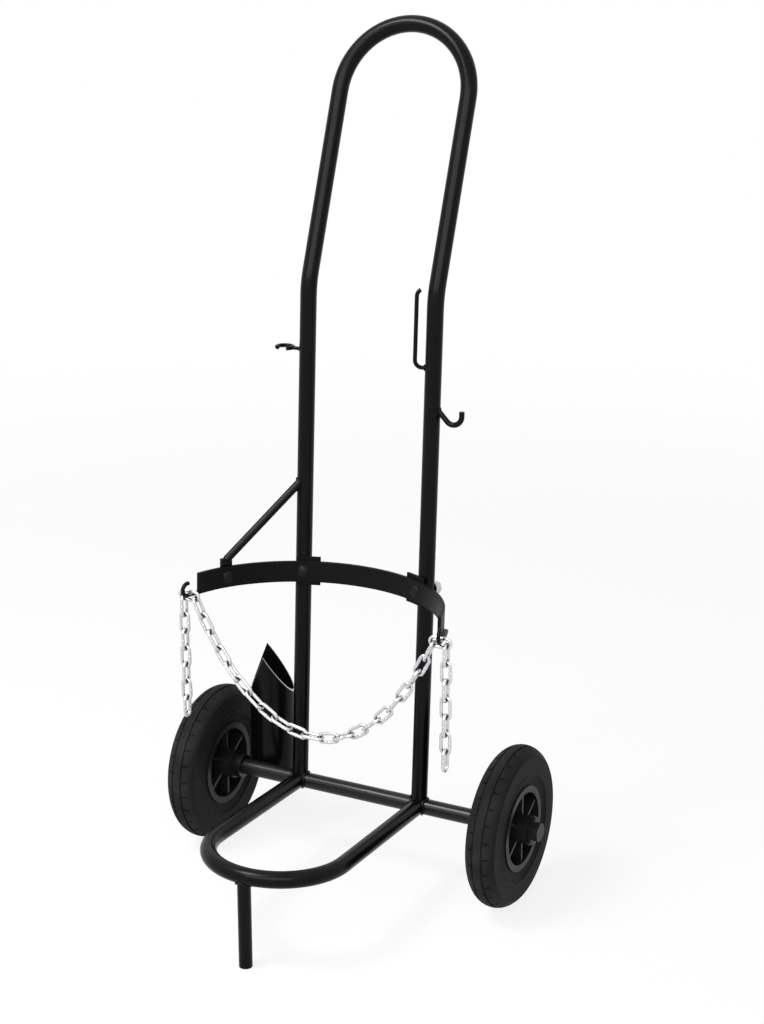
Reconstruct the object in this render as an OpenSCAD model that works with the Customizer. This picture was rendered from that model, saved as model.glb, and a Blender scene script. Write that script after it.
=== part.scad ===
// Two-wheeled gas cylinder trolley: bent tube frame, curved rest with chain, toe loop on a prop leg,
// rubber wheels on a through axle, and rod fittings for a lance and a hose.
// Millimetres. X to the right seen from the front, -Y towards the toe, Z up from the floor.

/* [Stance] */
// Backward lean of the standing frame, in degrees
frame_lean = 3.3; // [0:0.1:6]

/* [Frame tube] */
// Outer diameter of the bent frame tube
tube_d = 20; // [18:0.5:24]
// Wall of the handle tube
handle_wall = 1.5; // [1:0.25:3]
// Wall of the toe loop tube
toe_wall = 2.5; // [1.5:0.25:4]
// Distance between the two uprights, centre to centre
upright_spacing = 168; // [150:2:200]
// Length of the uprights from the axle to the bend
upright_height = 635; // [560:5:700]
// Backward angle of the handle against the uprights
handle_angle = 17.4; // [8:0.2:26]
// Centreline radius of the bend below the handle
handle_bend_r = 100; // [60:5:140]
// Straight length of the handle from the bend to the arch
handle_rise = 233; // [180:5:280]
// Growth of the tube's radius in its bends
bend_swell = 0.05; // [0.05:0.01:0.1]
// Root gap left at welded joints
weld_gap = 0.05; // [0.05:0.05:0.2]

/* [Toe loop and leg] */
// Reach of the toe loop in front of the axle, to its centreline
toe_reach = 283; // [240:5:330]
// Diameter of the prop leg, a solid bar
leg_d = 16; // [14:0.5:18]

/* [Cylinder rest] */
// Inner radius of the curved rest bar
rest_r = 162; // [140:1:180]
// Thickness of the rest bar
rest_t = 4; // [3:0.5:6]
// Height of the rest bar
rest_h = 26; // [22:1:36]
// Half of the angle that the rest bar wraps
rest_half_angle = 78; // [70:1:86]
// Height of the rest bar's centre above the axle
rest_z = 280; // [240:2:340]
// Thickness of the lugs between rest bar and uprights
lug_t = 3; // [2:0.5:6]
// Height of the lugs
lug_h = 36; // [28:1:44]
// Length of the lugs from the upright's axis inwards
lug_reach = 21; // [16:1:30]
// Length of the lugs from the upright's axis outwards
lug_back = 9; // [8:0.5:14]
// Diameter of the bolts through the rest bar
bolt_d = 8; // [6:0.5:9]
// Radial clearance of the bolts in their holes
bolt_gap = 0.2; // [0.1:0.05:0.5]
// Diameter of the domed bolt heads
head_d = 16; // [13:0.5:18]
// Height of the domed bolt heads
head_h = 3.5; // [2.5:0.25:5]
// Width across flats of the nuts
nut_af = 13; // [12:0.5:15]
// Height of the nuts
nut_h = 6.5; // [4:0.5:8]
// Thickness of the washers under the nuts
washer_t = 1.5; // [1:0.25:2]
// Outer diameter of those washers
washer_d = 16; // [14:0.5:18]

/* [Side brace] */
// Angle of the brace's foot along the rest bar
brace_angle = 62; // [52:1:68]
// Height of the brace's head above the axle
brace_z = 397; // [370:2:440]
// Diameter of the brace's rod
brace_d = 10; // [8:0.5:13]
// Width of the brace's flattened foot
brace_w = 15; // [14:0.5:20]
// Thickness of the foot
brace_t = 4; // [3:0.5:6]
// Height of the rod's start above the rest bar
brace_foot = 7; // [5:0.5:12]
// Diameter of the brace's bolt
brace_bolt_d = 6; // [5:0.5:8]

/* [Chain hooks] */
// Diameter of the hook rod
hook_d = 5; // [4:0.25:6]
// Centreline radius of the hook's curl
hook_r = 7.5; // [7:0.5:12]
// Straight length of the hook in front of the rest bar
hook_l = 14; // [12:0.5:20]
// Angle of the hook rod welded along the rest bar
hook_weld_angle = 10; // [6:1:16]
// Height of the hook rod's centre above the rest bar's lower edge
hook_rise = 0; // [0:0.5:4]
// Straight tip past the curl
hook_tip = 2; // [1:0.5:6]
// Distance of the hanging chain from the start of the curl
saddle_back = 3.5; // [3:0.25:5]

/* [Chain] */
// Wire diameter of the chain
wire_d = 4; // [3.5:0.25:4.5]
// Inner length of a link
link_l = 22; // [20:0.5:25]
// Inner width of a link
link_w = 7; // [6.5:0.25:9]
// Slack between two links
link_slack = 0.25; // [0.2:0.05:0.6]
// Gap between a hook and the link lying on it
hook_gap = 0.3; // [0.3:0.05:0.6]
// Links in the span between the hooks
span_links = 21; // [21:2:25]
// Links hanging past the left hook
left_tail_links = 7; // [3:1:9]
// Links hanging past the right hook
right_tail_links = 7; // [3:1:9]

/* [Lance pocket] */
// Outer diameter of the pocket tube
pocket_d = 58; // [54:1:64]
// Wall of the pocket tube
pocket_wall = 2; // [1.5:0.25:3]
// Distance of the pocket's axis from the middle of the trolley
pocket_x = 145; // [138:1:150]
// Height of the mouth's ridge above the axle
pocket_top = 150; // [130:2:180]
// Height of the mouth's lowest points above the axle
pocket_low = 96; // [80:2:120]
// Distance of the ridge from the pocket's axis towards the wheel
pocket_ridge = 9; // [0:1:14]
// Turn of the ridge from the trolley's own direction
pocket_turn = 24; // [0:1:30]
// Depth of the pocket below the axle's centre
pocket_drop = 10; // [4:1:20]
// Thickness of the pocket's floor
pocket_floor_t = 3; // [2:0.5:5]

/* [Rod fittings] */
// Diameter of the fittings' rod
rod_d = 5; // [4:0.25:6]
// Height of the lance hook above the axle
lance_z = 554; // [500:5:600]
// Length of the lance hook's arm beside the tube
lance_arm = 11; // [8:0.5:20]
// Centreline radius of the lance hook's ring
lance_r = 10; // [9:0.5:14]
// Opening of the ring in degrees
lance_gap = 70; // [40:5:120]
// Height of the hose loop's foot above the axle
loop_z = 551; // [520:1:580]
// Straight height of the hose loop
loop_h = 75; // [60:1:90]
// Reach of the hose loop from the tube's axis
loop_reach = 22; // [20:0.5:34]
// Corner radius of the hose loop
loop_r = 9; // [6:0.5:9]
// Turn of the hose loop from the front towards the inside
loop_turn = 60; // [0:5:90]
// Inward bend of the hose loop's tip in degrees
loop_tip = 60; // [20:5:60]
// Diameter of the hose hook's rod
hose_d = 6.5; // [5:0.25:8]
// Height of the hose hook above the axle
hose_z = 509; // [460:5:530]
// Straight length of the hose hook
hose_l = 18; // [14:1:28]
// Downward angle of the hose hook
hose_angle = 45; // [30:1:60]
// Centreline radius of the hose hook's curl
hose_r = 11; // [9:0.5:18]
// Upright tip of the hose hook
hose_tip = 6; // [4:0.5:16]

/* [Axle] */
// Diameter of the axle bar
axle_d = 20; // [18:0.5:24]
// Distance from the middle of the trolley to the middle of a wheel
half_track = 207; // [195:1:225]
// Radial running clearance of the wheel bush
run_gap = 0.05; // [0.02:0.01:0.1]
// End play of each wheel on the axle
end_play = 0.3; // [0.2:0.05:0.6]
// Length of the stop collar inside each wheel
collar_l = 10; // [6:1:16]
// Outer diameter of the stop collar
collar_d = 30; // [26:1:34]
// Thickness of the wheel washers
hub_washer_t = 2; // [1.5:0.25:3]
// Outer diameter of the wheel washers
hub_washer_d = 34; // [30:1:38]
// Depth of the push-on cap over the axle's end
cap_l = 7; // [5:0.5:10]
// Outer diameter of the push-on cap
cap_d = 30; // [27:1:34]
// Wall of the push-on cap
cap_wall = 1.5; // [1:0.25:2]
// Gap between seated pieces
seat_gap = 0.05; // [0.02:0.01:0.1]

/* [Wheels] */
// Outer diameter of the tyre
wheel_d = 200; // [180:5:220]
// Width of the tyre
tyre_w = 38; // [34:1:44]
// Radius of the tyre's crown
crown_r = 22; // [20:0.5:28]
// Width of the tyre at the rim
bead_w = 32; // [28:0.5:34]
// Radius of the tyre's seat on the rim
seat_r = 50; // [46:1:56]
// Width of the two grooves round the tread
groove_w = 2.5; // [1.5:0.25:4]
// Depth of the tread grooves
groove_t = 2.5; // [1:0.25:4]
// Distance of the grooves from the middle of the tread
groove_y = 6; // [4.5:0.5:8]
// Tread blocks round each shoulder
tread_blocks = 30; // [24:2:44]
// Radius of the raised ring on the sidewall
ring_r = 68; // [62:1:74]
// Thickness of the rim's lips
rim_lip_t = 2; // [1.5:0.25:3]
// Height of the rim's lips over the seat
rim_lip_h = 3; // [2:0.5:4]
// Thickness of the rim's ring
rim_wall = 5; // [4:0.5:7]
// Thickness of the rim's web
web_t = 6; // [4:0.5:9]
// Ribs on each side of the web
rib_count = 6; // [5:1:8]
// Thickness of the ribs
rib_t = 4; // [3:0.5:6]
// Outer diameter of the hub
hub_d = 36; // [34:1:40]
// Length of the hub
hub_l = 58; // [50:1:66]
// Wall of the bush in the hub
bush_wall = 2.5; // [1.5:0.25:4]

/* [Hidden] */
$fn = 64;
// Difference in diameter between the lance hook's arm and its ring
arm_step = 0.5;
// Length by which straight tube runs into a bend
lap = 1;
// Length of bolt that shows past its nut
nut_proud = 2;
// Radius of the raised ring's bead on the sidewall
ring_bead = 2;
// Start of the shoulder cuts as a share of the crown's radius
cut_share = 0.62;
tube_r = tube_d / 2;
half = upright_spacing / 2;
axle_r = axle_d / 2;
axle_z = wheel_d / 2;
leg_r = leg_d / 2;
bend_run = handle_bend_r * tan(handle_angle / 2);
handle_lean = frame_lean + handle_angle;
// Weld seat of the frame tubes on the axle
axle_seat = axle_r + weld_gap;

// From the leaning frame to the standing trolley
function stand(p) = [
    p[0],
    p[1] * cos(frame_lean) + p[2] * sin(frame_lean),
    axle_z - p[1] * sin(frame_lean) + p[2] * cos(frame_lean)
];

// Extent of the trolley from front to back, which sets the origin
bend_r_out = tube_r + bend_swell;
front_y = -toe_reach * cos(frame_lean) - bend_r_out;
back_y = upright_height * sin(frame_lean) + (handle_rise + half) * sin(handle_lean) + bend_r_out;
mid_y = (front_y + back_y) / 2;

// The rest bar lies on lugs in front of both uprights
rest_out = rest_r + rest_t;
lug_out = rest_out + seat_gap + lug_t;
rest_mid = lug_out + seat_gap + tube_r;
rest_y = -sqrt(rest_mid * rest_mid - half * half);
upright_angle = asin(half / rest_mid);
lug_in_angle = lug_reach / lug_out * 180 / PI;
lug_out_angle = lug_back / lug_out * 180 / PI;

// Seat of a chain link on its hook, in the leaning frame and then standing
hook_rad = hook_d / 2;
hook_out = rest_out + hook_rad + seat_gap;
hook_drop = rest_h / 2 - hook_rise;
saddle_t = hook_l - saddle_back;
saddle_frame = [
    saddle_t * cos(rest_half_angle) + hook_out * sin(rest_half_angle),
    rest_y - saddle_t * sin(rest_half_angle) + hook_out * cos(rest_half_angle),
    rest_z - hook_drop
];
saddle_rod = stand(saddle_frame);
wire_r = wire_d / 2;
link_a = (link_w + wire_d) / 2;
link_s = link_l + wire_d - 2 * link_a;
link_pitch = link_l - link_slack;
saddle_x = saddle_rod[0];
chain_y = saddle_rod[1];
saddle_z = saddle_rod[2] + (hook_rad + wire_r + hook_gap) / cos(frame_lean) - link_a;
// Offset of the first joint from the middle of the saddle link's end curve
joint_r = link_a - (wire_d + link_slack) / 2;
span_goal = 2 * (saddle_x - link_s / 2);

// Links of a hanging chain: the slope grows by the same step from link to link
function link_tilt(i, k) = atan(k * (i - (span_links - 1) / 2));
function sum_cos(k, i = 0) = i >= span_links ? 0 : cos(link_tilt(i, k)) + sum_cos(k, i + 1);
function span_at(k) = link_pitch * sum_cos(k) + 2 * joint_r * cos(link_tilt(0, k));
function solve_k(lo, hi, n = 0) =
    n > 50 ? (lo + hi) / 2
    : span_at((lo + hi) / 2) > span_goal ? solve_k((lo + hi) / 2, hi, n + 1)
    : solve_k(lo, (lo + hi) / 2, n + 1);
chain_k = solve_k(0, 3);
end_tilt = link_tilt(0, chain_k);
function joint_at(i) =
    i == 0
    ? [-saddle_x + link_s / 2 + joint_r * cos(end_tilt), saddle_z + joint_r * sin(end_tilt)]
    : joint_at(i - 1) + link_pitch * [cos(link_tilt(i - 1, chain_k)), sin(link_tilt(i - 1, chain_k))];

// Pocket
pocket_r = pocket_d / 2;
pocket_y = axle_seat + pocket_r;
pocket_fall = pocket_top - pocket_low;

// Wheel
hub_r = hub_d / 2;
bush_in = axle_r + run_gap;
bush_out = bush_in + bush_wall;
rim_in = seat_r - rim_wall;
rim_w = bead_w + 2 * rim_lip_t + 2 * seat_gap;
hub_end = hub_l / 2;
washer_in = half_track - hub_end - end_play;
washer_out = half_track + hub_end + end_play;
axle_end = washer_out + hub_washer_t + cap_l;
crown_c = wheel_d / 2 - crown_r;

module place() translate([0, -mid_y, 0]) children();

// The welded frame leans about the axle
module leaning() place() translate([0, 0, axle_z]) rotate([-frame_lean, 0, 0]) children();

module both_sides() {
    children();
    mirror([1, 0, 0]) children();
}

// One side of the handle as a solid of radius r, from the axle to the arch
module side_core(r, below = 0) {
    translate([half, 0, -below]) cylinder(r = r, h = upright_height - bend_run + below + lap);
    translate([half, handle_bend_r, upright_height - bend_run]) {
        rotate([90, 0, -90])
            rotate_extrude(angle = handle_angle) translate([handle_bend_r, 0]) circle(r = r + bend_swell);
        rotate([-handle_angle, 0, 0]) translate([0, -handle_bend_r, -lap])
            cylinder(r = r, h = handle_rise - bend_run + 2 * lap);
    }
}

// The arch over both sides
module arch_core(r) translate([0, handle_bend_r, upright_height - bend_run])
    rotate([-handle_angle, 0, 0]) translate([0, -handle_bend_r, handle_rise - bend_run]) rotate([90, 0, 0])
    rotate_extrude(angle = 180) translate([half, 0]) circle(r = r + bend_swell);

module axle_core(r) rotate([0, 90, 0]) cylinder(r = r, h = 2 * axle_end, center = true);

// Turns to a place on the rest bar: X along the bar, Y outwards, Z up
module at_rest_bar(angle) translate([0, rest_y, rest_z]) rotate([0, 0, -angle]) children();

// Bolt axes through the rest bar point outwards along Y
module outward() rotate([-90, 0, 0]) children();

module handle_tube() color([0.05, 0.05, 0.06]) leaning() difference() {
    union() {
        both_sides() side_core(tube_r);
        arch_core(tube_r);
    }
    union() {
        both_sides() side_core(tube_r - handle_wall, 1);
        arch_core(tube_r - handle_wall);
    }
    axle_core(axle_seat);
    both_sides() at_rest_bar(upright_angle) outward()
        cylinder(r = bolt_d / 2 + bolt_gap, h = rest_out + 3 * tube_d);
}

module axle() color([0.07, 0.07, 0.08]) leaning() axle_core(axle_r);

// The front curve of the toe loop
module toe_curve(r) translate([0, half - toe_reach, 0]) rotate([0, 0, 180])
    rotate_extrude(angle = 180) translate([half, 0]) circle(r = r + bend_swell);

// The toe loop as a solid of radius r
module toe_core(r, behind) {
    toe_curve(r);
    both_sides() translate([half, behind, 0]) rotate([90, 0, 0])
        cylinder(r = r, h = toe_reach - half + behind + lap);
}

module toe_loop() color([0.05, 0.05, 0.06]) leaning() difference() {
    toe_core(tube_r, 0);
    toe_core(tube_r - toe_wall, tube_r);
    axle_core(axle_seat);
    both_sides() translate([half, 0, 0]) cylinder(r = tube_r + weld_gap, h = upright_height / 2);
}

toe_top = stand([0, -toe_reach, 0]);

module front_leg() color([0.05, 0.05, 0.06]) difference() {
    place() translate([0, toe_top[1], 0]) cylinder(r = leg_r, h = toe_top[2]);
    leaning() toe_curve(tube_r + weld_gap);
}

module cylinder_rest() color([0.09, 0.09, 0.10]) leaning() difference() {
    translate([0, rest_y, rest_z]) rotate([0, 0, 90 - rest_half_angle])
        rotate_extrude(angle = 2 * rest_half_angle)
        translate([rest_r, -rest_h / 2]) square([rest_t, rest_h]);
    both_sides() at_rest_bar(upright_angle) outward() cylinder(r = bolt_d / 2 + bolt_gap, h = rest_mid);
    at_rest_bar(-brace_angle) outward() cylinder(r = brace_bolt_d / 2 + bolt_gap, h = rest_mid);
}

// Curved plates between the rest bar and the uprights, reaching inwards
module rest_lugs() color([0.09, 0.09, 0.10]) leaning() both_sides() difference() {
    translate([0, rest_y, rest_z]) rotate([0, 0, 90 - upright_angle - lug_out_angle])
        rotate_extrude(angle = lug_out_angle + lug_in_angle)
        translate([rest_out + seat_gap, -lug_h / 2]) square([lug_t, lug_h]);
    at_rest_bar(upright_angle) outward() cylinder(r = bolt_d / 2 + bolt_gap, h = rest_mid);
}

// A domed head on the inside of the bar, with its shank outwards
module domed_bolt(d, seat, grip) {
    dome = (head_d * head_d / 4 + head_h * head_h) / (2 * head_h);
    translate([0, 0, seat - seat_gap - head_h]) intersection() {
        cylinder(d = head_d, h = head_h);
        translate([0, 0, dome]) sphere(r = dome);
    }
    translate([0, 0, seat - seat_gap - head_h / 2]) cylinder(d = d, h = grip + head_h / 2);
}

module nut(d) difference() {
    cylinder(d = (nut_af - bolt_d + d) / cos(30), h = nut_h, $fn = 6);
    translate([0, 0, -1]) cylinder(r = d / 2 + seat_gap, h = nut_h + 2);
}

rest_grip = rest_t + lug_t + tube_d + 4 * seat_gap + washer_t;

module rest_bolts() color([0.12, 0.12, 0.13]) leaning() both_sides() at_rest_bar(upright_angle) outward()
    domed_bolt(bolt_d, rest_r, rest_grip + nut_h + nut_proud);

module rest_washers() color([0.55, 0.56, 0.58]) leaning() both_sides() at_rest_bar(upright_angle) outward()
    translate([0, 0, rest_mid + tube_r + seat_gap]) difference() {
        cylinder(d = washer_d, h = washer_t);
        translate([0, 0, -1]) cylinder(r = bolt_d / 2 + bolt_gap, h = washer_t + 2);
    }

module rest_nuts() color([0.55, 0.56, 0.58]) leaning() both_sides() at_rest_bar(upright_angle) outward()
    translate([0, 0, rest_mid + tube_r + 2 * seat_gap + washer_t]) nut(bolt_d);

brace_at = rest_out + seat_gap + brace_t / 2;
brace_base = [
    -brace_at * sin(brace_angle),
    rest_y + brace_at * cos(brace_angle),
    rest_z + rest_h / 2 + brace_foot
];
brace_top = [-half, 0, brace_z];
brace_dir = brace_top - brace_base;
brace_len = norm(brace_dir);
brace_turn = atan2(brace_dir[1], brace_dir[0]);
brace_polar = acos(brace_dir[2] / brace_len);

// Rod with its foot flattened against the back of the rest bar
module brace() color([0.05, 0.05, 0.06]) leaning() difference() {
    union() {
        at_rest_bar(-brace_angle) translate([-brace_w / 2, rest_out + seat_gap, -rest_h / 2])
            cube([brace_w, brace_t, rest_h + brace_foot + brace_d / 4]);
        translate(brace_base) rotate([0, brace_polar, brace_turn]) cylinder(d = brace_d, h = brace_len);
    }
    translate([-half, 0, brace_z - brace_len]) cylinder(r = tube_r + weld_gap, h = 2 * brace_len);
    at_rest_bar(-brace_angle) outward() cylinder(r = brace_bolt_d / 2 + bolt_gap, h = rest_mid + tube_d);
}

brace_grip = rest_t + brace_t + 2 * seat_gap;

module brace_bolt() color([0.12, 0.12, 0.13]) leaning() at_rest_bar(-brace_angle) outward()
    domed_bolt(brace_bolt_d, rest_r, brace_grip + nut_h + nut_proud);

module brace_nut() color([0.55, 0.56, 0.58]) leaning() at_rest_bar(-brace_angle) outward()
    translate([0, 0, rest_out + brace_t + 2 * seat_gap]) nut(brace_bolt_d);

// Hook rod: welded along the end of the bar, then straight on and curled up
module chain_hook() leaning() at_rest_bar(rest_half_angle) {
    rotate([0, 0, 90])
        rotate_extrude(angle = hook_weld_angle) translate([hook_out, -hook_drop]) circle(r = hook_rad);
    translate([0, hook_out, -hook_drop]) {
        rotate([0, 90, 0]) cylinder(r = hook_rad, h = hook_l);
        translate([hook_l, 0, hook_r]) {
            rotate([90, 0, 0]) rotate([0, 0, -90])
                rotate_extrude(angle = 180) translate([hook_r, 0]) circle(r = hook_rad);
            translate([0, 0, hook_r]) rotate([0, -90, 0]) cylinder(r = hook_rad, h = hook_tip);
        }
    }
}

module right_chain_hook() color([0.08, 0.08, 0.09]) chain_hook();

module left_chain_hook() color([0.08, 0.08, 0.09]) mirror([1, 0, 0]) chain_hook();

// Everything above the mouth, whose two slants meet in a ridge
module above_mouth() rotate([0, 0, pocket_turn]) translate([-pocket_ridge, 0, pocket_top])
    rotate([90, 0, 0]) linear_extrude(height = 4 * pocket_d, center = true) polygon([
        [-2 * (pocket_r - pocket_ridge), -2 * pocket_fall],
        [0, 0],
        [2 * (pocket_r + pocket_ridge), -2 * pocket_fall],
        [2 * (pocket_r + pocket_ridge), pocket_d],
        [-2 * (pocket_r - pocket_ridge), pocket_d]
    ]);

module at_pocket() place() translate([-pocket_x, pocket_y, axle_z]) children();

module lance_pocket() color([0.05, 0.05, 0.06]) at_pocket() difference() {
    translate([0, 0, -pocket_drop]) cylinder(r = pocket_r, h = pocket_drop + pocket_top + pocket_wall);
    translate([0, 0, -pocket_drop - 1])
        cylinder(r = pocket_r - pocket_wall, h = pocket_drop + pocket_top + 2 * pocket_wall + 1);
    above_mouth();
}

module pocket_floor() color([0.05, 0.05, 0.06]) at_pocket() translate([0, 0, -pocket_drop])
    cylinder(r = pocket_r - pocket_wall - seat_gap, h = pocket_floor_t);

// Arm beside the left tube with an open ring lying level
module lance_hook() color([0.05, 0.05, 0.06]) leaning() translate([-half, 0, lance_z]) difference() {
    union() {
        rotate([0, -90, 0]) cylinder(d = rod_d - arm_step, h = tube_r + lance_arm);
        translate([-tube_r - lance_arm - lance_r, 0, 0]) rotate([0, 0, lance_gap / 2 - 90])
            rotate_extrude(angle = 360 - lance_gap) translate([lance_r, 0]) circle(d = rod_d);
    }
    translate([0, 0, -lance_z / 4]) cylinder(r = tube_r + weld_gap, h = lance_z / 2);
}

// Rod standing beside the right tube, open at the top, with its tip bent inwards
module hose_loop() color([0.05, 0.05, 0.06]) leaning() difference() {
    translate([half, 0, loop_z]) rotate([0, 0, -loop_turn]) {
        rotate([90, 0, 0]) cylinder(d = rod_d, h = loop_reach - loop_r);
        translate([0, loop_r - loop_reach, loop_r]) {
            rotate([0, -90, 0]) rotate([0, 0, 180])
                rotate_extrude(angle = 90) translate([loop_r, 0]) circle(d = rod_d);
            translate([0, -loop_r, 0]) cylinder(d = rod_d, h = loop_h);
            translate([0, 0, loop_h]) rotate([0, -90, 0]) rotate([0, 0, -90])
                rotate_extrude(angle = loop_tip) translate([loop_r, 0]) circle(d = rod_d);
        }
    }
    translate([half, 0, loop_z / 2]) cylinder(r = tube_r + weld_gap, h = loop_z / 2 + rod_d);
}

// Rod hook beside the right tube: down and outwards, then curled up
module hose_hook() color([0.05, 0.05, 0.06]) leaning() difference() {
    translate([half, 0, hose_z]) rotate([0, 90 + hose_angle, 0]) {
        cylinder(d = hose_d, h = tube_r + hose_l + lap / 2);
        translate([-hose_r, 0, tube_r + hose_l]) {
            rotate([90, 0, 0]) rotate_extrude(angle = 90 + hose_angle)
                translate([hose_r, 0]) circle(r = hose_d / 2 + bend_swell);
            rotate([0, -90 - hose_angle, 0]) translate([hose_r, 0, -lap / 2])
                cylinder(d = hose_d, h = hose_tip + lap / 2);
        }
    }
    translate([half, 0, hose_z / 2]) cylinder(r = tube_r + weld_gap, h = hose_z);
}

module ring(r_out, r_in, h) difference() {
    cylinder(r = r_out, h = h);
    translate([0, 0, -1]) cylinder(r = r_in, h = h + 2);
}

// Along the axle: Z outwards from the middle of the trolley, on the right side
module on_axle() place() translate([0, 0, axle_z]) rotate([0, 90, 0]) children();

module stop_collars() color([0.07, 0.07, 0.08]) both_sides() on_axle()
    translate([0, 0, washer_in - hub_washer_t - seat_gap - collar_l])
    ring(collar_d / 2, axle_r + seat_gap, collar_l);

module hub_washers() color([0.55, 0.56, 0.58]) both_sides() on_axle() {
    translate([0, 0, washer_in - hub_washer_t]) ring(hub_washer_d / 2, axle_r + seat_gap, hub_washer_t);
    translate([0, 0, washer_out]) ring(hub_washer_d / 2, axle_r + seat_gap, hub_washer_t);
}

// Push-on cap: a skirt round the axle's end with a flat crown
module axle_caps() color([0.06, 0.06, 0.07]) both_sides() on_axle()
    translate([0, 0, washer_out + hub_washer_t + seat_gap]) difference() {
        union() {
            cylinder(r = axle_r + cap_wall, h = cap_l + cap_wall);
            cylinder(d = cap_d, h = cap_wall);
        }
        translate([0, 0, -1]) cylinder(r = axle_r + seat_gap, h = cap_l + 1);
    }

// Half width of the tyre in profile, rounded over the crown
module tyre_profile() difference() {
    union() {
        intersection() {
            translate([crown_c, 0]) circle(r = crown_r);
            translate([seat_r, -tyre_w / 2]) square([wheel_d, tyre_w]);
        }
        polygon([
            [seat_r + seat_gap, -bead_w / 2], [seat_r + rim_lip_h, -bead_w / 2], [crown_c, -tyre_w / 2],
            [crown_c, tyre_w / 2], [seat_r + rim_lip_h, bead_w / 2], [seat_r + seat_gap, bead_w / 2]
        ]);
        for (s = [-1, 1]) translate([ring_r, s * (tyre_w + bead_w) / 4]) circle(r = ring_bead, $fn = 24);
    }
    for (s = [-1, 1]) translate([wheel_d / 2 - groove_t, s * groove_y - groove_w / 2])
        square([2 * groove_t, groove_w]);
}

// Shoulder cuts leave a row of blocks on each side of the tread
module tread_cuts() for (s = [-1, 1], i = [0 : tread_blocks - 1])
    rotate([0, 0, (i + (s + 1) / 4) * 360 / tread_blocks])
    translate([crown_c + crown_r * cut_share, -groove_w / 2, s > 0 ? groove_y : -tyre_w - groove_y])
    cube([crown_r, groove_w, tyre_w]);

module tyre() difference() {
    rotate_extrude($fn = 96) tyre_profile();
    difference() {
        tread_cuts();
        translate([0, 0, -tyre_w]) cylinder(r = wheel_d / 2 - 2 * groove_t, h = 2 * tyre_w);
        rotate_extrude($fn = 96) intersection() {
            translate([crown_c, 0]) circle(r = crown_r - groove_t);
            translate([0, -tyre_w]) square([wheel_d, 2 * tyre_w]);
        }
    }
}

module rim() difference() {
    union() {
        rotate_extrude() translate([rim_in, -rim_w / 2]) square([rim_wall, rim_w]);
        for (s = [-1, 1]) translate([0, 0, s * (rim_w - rim_lip_t) / 2 - rim_lip_t / 2])
            ring(seat_r + rim_lip_h, rim_in, rim_lip_t);
        translate([0, 0, -web_t / 2]) cylinder(r = rim_in + 1, h = web_t);
        translate([0, 0, -hub_end]) cylinder(r = hub_r, h = hub_l);
        for (i = [0 : rib_count - 1]) rotate([0, 0, i * 360 / rib_count])
            translate([0, -rib_t / 2, -bead_w / 2]) cube([rim_in + 1, rib_t, bead_w]);
    }
    translate([0, 0, -hub_l]) cylinder(r = bush_out + seat_gap, h = 2 * hub_l);
}

module bush() translate([0, 0, -hub_end]) ring(bush_out, bush_in, hub_l);

module right_wheel() on_axle() translate([0, 0, half_track]) children();

module left_wheel() mirror([1, 0, 0]) right_wheel() children();

module left_tyre() color([0.10, 0.10, 0.11]) left_wheel() tyre();

module left_rim() color([0.14, 0.14, 0.15]) left_wheel() rim();

module left_bush() color([0.75, 0.74, 0.70]) left_wheel() bush();

module right_tyre() color([0.10, 0.10, 0.11]) right_wheel() tyre();

module right_rim() color([0.14, 0.14, 0.15]) right_wheel() rim();

module right_bush() color([0.75, 0.74, 0.70]) right_wheel() bush();

// One chain link, long way along Z, flat in X
module link() {
    for (s = [-1, 1]) {
        translate([s * link_a, 0, -link_s / 2]) cylinder(r = wire_r, h = link_s);
        translate([0, 0, s * link_s / 2]) rotate([s * 90, 0, 0])
            rotate_extrude(angle = 180) translate([link_a, 0]) circle(r = wire_r);
    }
}

module saddle_link() place() translate([saddle_x, chain_y, saddle_z]) rotate([0, 90, 0]) link();

module right_hook_link() color([0.80, 0.81, 0.82]) saddle_link();

module left_hook_link() color([0.80, 0.81, 0.82]) mirror([1, 0, 0]) saddle_link();

module chain_span() color([0.80, 0.81, 0.82]) place() for (i = [0 : span_links - 1]) {
    mid = (joint_at(i) + joint_at(i + 1)) / 2;
    translate([mid[0], chain_y, mid[1]]) rotate([0, 90 - link_tilt(i, chain_k), 0])
        rotate([0, 0, i % 2 == 0 ? 90 : 0]) link();
}

// Links hanging straight down from the outer end of a saddle link
module tail(count) place() for (i = [0 : count - 1])
    translate([saddle_x + link_s / 2, chain_y, saddle_z - joint_r - (i + 0.5) * link_pitch])
    rotate([0, 0, i % 2 == 0 ? 90 : 0]) link();

module left_chain_tail() color([0.80, 0.81, 0.82]) mirror([1, 0, 0]) tail(left_tail_links);

module right_chain_tail() color([0.80, 0.81, 0.82]) tail(right_tail_links);

handle_tube();
axle();
toe_loop();
front_leg();
cylinder_rest();
rest_lugs();
rest_bolts();
rest_washers();
rest_nuts();
brace();
brace_bolt();
brace_nut();
left_chain_hook();
right_chain_hook();
lance_pocket();
pocket_floor();
lance_hook();
hose_loop();
hose_hook();
stop_collars();
hub_washers();
axle_caps();
left_tyre();
left_rim();
left_bush();
right_tyre();
right_rim();
right_bush();
left_hook_link();
right_hook_link();
chain_span();
left_chain_tail();
right_chain_tail();
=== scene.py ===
"""Gas cylinder trolley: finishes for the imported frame, weld seams, fine trim and a pale studio."""

import logging
import math
from dataclasses import dataclass, field, replace
from enum import Enum
from functools import reduce
from typing import Any, Optional, Sequence, Union

import bmesh
import bpy
import numpy as np
from mathutils import Matrix, Vector


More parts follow.
